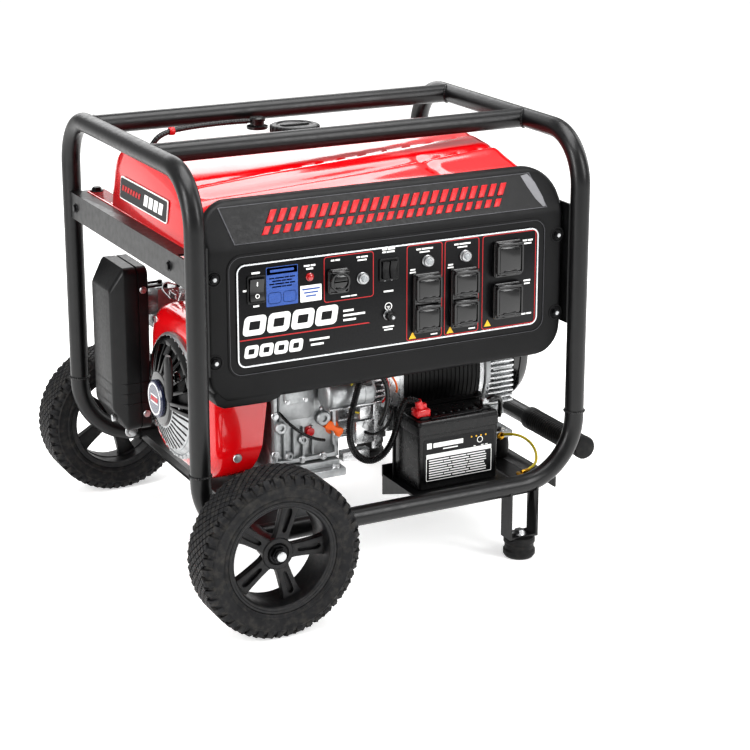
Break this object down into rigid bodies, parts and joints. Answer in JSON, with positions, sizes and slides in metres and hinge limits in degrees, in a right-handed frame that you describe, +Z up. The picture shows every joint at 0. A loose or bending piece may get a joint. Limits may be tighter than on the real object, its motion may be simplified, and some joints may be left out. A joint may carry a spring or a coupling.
{
  "type": "portable generator",
  "caption": "Open tube-frame portable generator on wheels and rubber feet, with engine, alternator, steel fuel tank, battery, folding handle and a front outlet console.",
  "frame": {"origin": "on the ground under the middle of the whole generator", "axes": "+X along the console towards the alternator and handle end, -Y towards the console, +Z up"},
  "size_m": [0.775, 0.784, 0.722],
  "materials": {
    "frame_paint": "satin",
    "zinc": "satin",
    "rubber": "matte",
    "tyre": "matte",
    "rim_plastic": "satin",
    "tank_paint": "gloss",
    "shroud_paint": "gloss",
    "black_plastic": "matte",
    "gloss_black": "gloss",
    "plate": "satin",
    "lamp": "gloss",
    "cast_aluminium": "matte",
    "shaft_steel": "satin",
    "stator_steel": "matte",
    "muffler_steel": "matte",
    "battery_case": "satin",
    "cable_black": "satin",
    "cable_earth": "satin",
    "orange_plastic": "satin"
  },
  "bodies": {
    "chassis": {"end_hoop_left": "frame_paint", "end_hoop_right": "frame_paint", "bottom_rail_front": "frame_paint", "bottom_rail_back": "frame_paint", "top_rails": "frame_paint", "cross_channels": "frame_paint", "engine_isolators": "rubber", "weld_on_brackets": "frame_paint", "rubber_feet": "rubber", "frame_bolts": "zinc", "console_housing": "black_plastic", "face_plate": "plate", "low_oil_lamp": "lamp", "panel_devices": "black_plastic", "fuel_tank": "tank_paint", "vapour_line": "cable_black", "crankcase": "cast_aluminium", "cylinder_head": "cast_aluminium", "fan_shroud": "shroud_paint", "recoil_cover": "gloss_black", "air_cleaner_case": "black_plastic", "carburettor": "cast_aluminium", "muffler": "muffler_steel", "starter_motor": "stator_steel", "alternator_adaptor": "cast_aluminium", "stator": "stator_steel", "alternator_end_bell": "cast_aluminium", "alternator_end_cover": "gloss_black", "battery": "battery_case", "battery_tray": "frame_paint", "battery_hold_down": "zinc", "battery_lead": "cable_black", "earth_wire": "cable_earth"},
    "front_wheel": {"front_tyre": "tyre", "front_rim": "rim_plastic"},
    "back_wheel": {"back_tyre": "tyre", "back_rim": "rim_plastic"},
    "crank_train": {"crankshaft": "shaft_steel", "flywheel": "cast_aluminium", "rotor": "stator_steel"},
    "handle": {"handle_tube": "frame_paint", "handle_grip": "rubber"},
    "start_switch": {"start_rocker": "gloss_black"},
    "main_breaker": {"main_breaker_rocker": "gloss_black"},
    "dc_breaker": {"dc_breaker_button": "black_plastic"},
    "ac_breaker_1": {"ac_breaker_button_1": "black_plastic"},
    "ac_breaker_2": {"ac_breaker_button_2": "black_plastic"},
    "ground_nut": {"ground_knob": "shaft_steel"},
    "dc_cover": {"dc_socket_cover": "black_plastic"},
    "duplex_1_upper": {"duplex_1_cover_upper": "black_plastic"},
    "duplex_1_lower": {"duplex_1_cover_lower": "black_plastic"},
    "duplex_2_upper": {"duplex_2_cover_upper": "black_plastic"},
    "duplex_2_lower": {"duplex_2_cover_lower": "black_plastic"},
    "twist_lock_1": {"twist_lock_1_cover": "black_plastic"},
    "twist_lock_2": {"twist_lock_2_cover": "black_plastic"},
    "filler_cap": {"fuel_cap": "black_plastic"},
    "choke": {"choke_lever": "black_plastic"},
    "fuel_valve": {"fuel_valve_lever": "black_plastic"},
    "starter_grip": {"recoil_grip": "black_plastic"},
    "dipstick": {"oil_dipstick": "orange_plastic"}
  },
  "joints": [
    {"name": "front_wheel_spin", "type": "hinge", "parent": "chassis", "child": "front_wheel", "pos_m": [-0.2565, -0.354, 0.131], "axis": [0, 1, 0], "continuous": true},
    {"name": "back_wheel_spin", "type": "hinge", "parent": "chassis", "child": "back_wheel", "pos_m": [-0.2565, 0.354, 0.131], "axis": [0, 1, 0], "continuous": true},
    {"name": "crank_spin", "type": "hinge", "parent": "chassis", "child": "crank_train", "pos_m": [-0.0965, -0.01, 0.28], "axis": [1, 0, 0], "continuous": true},
    {"name": "handle_swing", "type": "hinge", "parent": "chassis", "child": "handle", "pos_m": [0.3675, 0.25, 0.16], "axis": [0, 0, 1], "range_deg": [0, 90]},
    {"name": "start_switch_rock", "type": "hinge", "parent": "chassis", "child": "start_switch", "pos_m": [-0.2405, -0.256, 0.5195], "axis": [1, 0, 0], "range_deg": [-12, 12]},
    {"name": "main_breaker_rock", "type": "hinge", "parent": "chassis", "child": "main_breaker", "pos_m": [-0.0145, -0.26, 0.524], "axis": [1, 0, 0], "range_deg": [-12, 12]},
    {"name": "dc_breaker_pop", "type": "slide", "parent": "chassis", "child": "dc_breaker", "axis": [0, -1, 0], "range_m": [0, 0.004]},
    {"name": "ac_breaker_1_pop", "type": "slide", "parent": "chassis", "child": "ac_breaker_1", "axis": [0, -1, 0], "range_m": [0, 0.004]},
    {"name": "ac_breaker_2_pop", "type": "slide", "parent": "chassis", "child": "ac_breaker_2", "axis": [0, -1, 0], "range_m": [0, 0.004]},
    {"name": "ground_nut_turn", "type": "hinge", "parent": "chassis", "child": "ground_nut", "pos_m": [-0.0145, -0.273, 0.449], "axis": [0, 1, 0], "range_deg": [0, 720]},
    {"name": "dc_cover_flip", "type": "hinge", "parent": "chassis", "child": "dc_cover", "pos_m": [-0.1045, -0.2769, 0.5335], "axis": [-1, 0, 0], "range_deg": [0, 110], "stiffness_Nm_per_rad": 0.02},
    {"name": "duplex_1_upper_flip", "type": "hinge", "parent": "chassis", "child": "duplex_1_upper", "pos_m": [0.051, -0.2769, 0.5075], "axis": [-1, 0, 0], "range_deg": [0, 110], "stiffness_Nm_per_rad": 0.02},
    {"name": "duplex_1_lower_flip", "type": "hinge", "parent": "chassis", "child": "duplex_1_lower", "pos_m": [0.051, -0.2769, 0.4585], "axis": [-1, 0, 0], "range_deg": [0, 110], "stiffness_Nm_per_rad": 0.02},
    {"name": "duplex_2_upper_flip", "type": "hinge", "parent": "chassis", "child": "duplex_2_upper", "pos_m": [0.119, -0.2769, 0.5075], "axis": [-1, 0, 0], "range_deg": [0, 110], "stiffness_Nm_per_rad": 0.02},
    {"name": "duplex_2_lower_flip", "type": "hinge", "parent": "chassis", "child": "duplex_2_lower", "pos_m": [0.119, -0.2769, 0.4585], "axis": [-1, 0, 0], "range_deg": [0, 110], "stiffness_Nm_per_rad": 0.02},
    {"name": "twist_lock_1_flip", "type": "hinge", "parent": "chassis", "child": "twist_lock_1", "pos_m": [0.1985, -0.2769, 0.5435], "axis": [-1, 0, 0], "range_deg": [0, 110], "stiffness_Nm_per_rad": 0.02},
    {"name": "twist_lock_2_flip", "type": "hinge", "parent": "chassis", "child": "twist_lock_2", "pos_m": [0.1985, -0.2769, 0.4735], "axis": [-1, 0, 0], "range_deg": [0, 110], "stiffness_Nm_per_rad": 0.02},
    {"name": "filler_cap_turn", "type": "hinge", "parent": "chassis", "child": "filler_cap", "pos_m": [-0.0315, 0.04, 0.7], "axis": [0, 0, 1], "range_deg": [0, 90]},
    {"name": "choke_turn", "type": "hinge", "parent": "chassis", "child": "choke", "pos_m": [-0.2265, 0.15, 0.423], "axis": [0, 0, 1], "range_deg": [0, 60]},
    {"name": "fuel_valve_turn", "type": "hinge", "parent": "chassis", "child": "fuel_valve", "pos_m": [-0.2265, 0.175, 0.423], "axis": [0, 0, -1], "range_deg": [0, 90]},
    {"name": "starter_grip_pull", "type": "slide", "parent": "chassis", "child": "starter_grip", "axis": [-1, 0, 0], "range_m": [0, 0.6], "stiffness_N_per_m": 15},
    {"name": "dipstick_turn", "type": "hinge", "parent": "chassis", "child": "dipstick", "pos_m": [-0.0485, -0.135, 0.226], "axis": [0, 1, 0], "range_deg": [0, 720]}
  ]
}
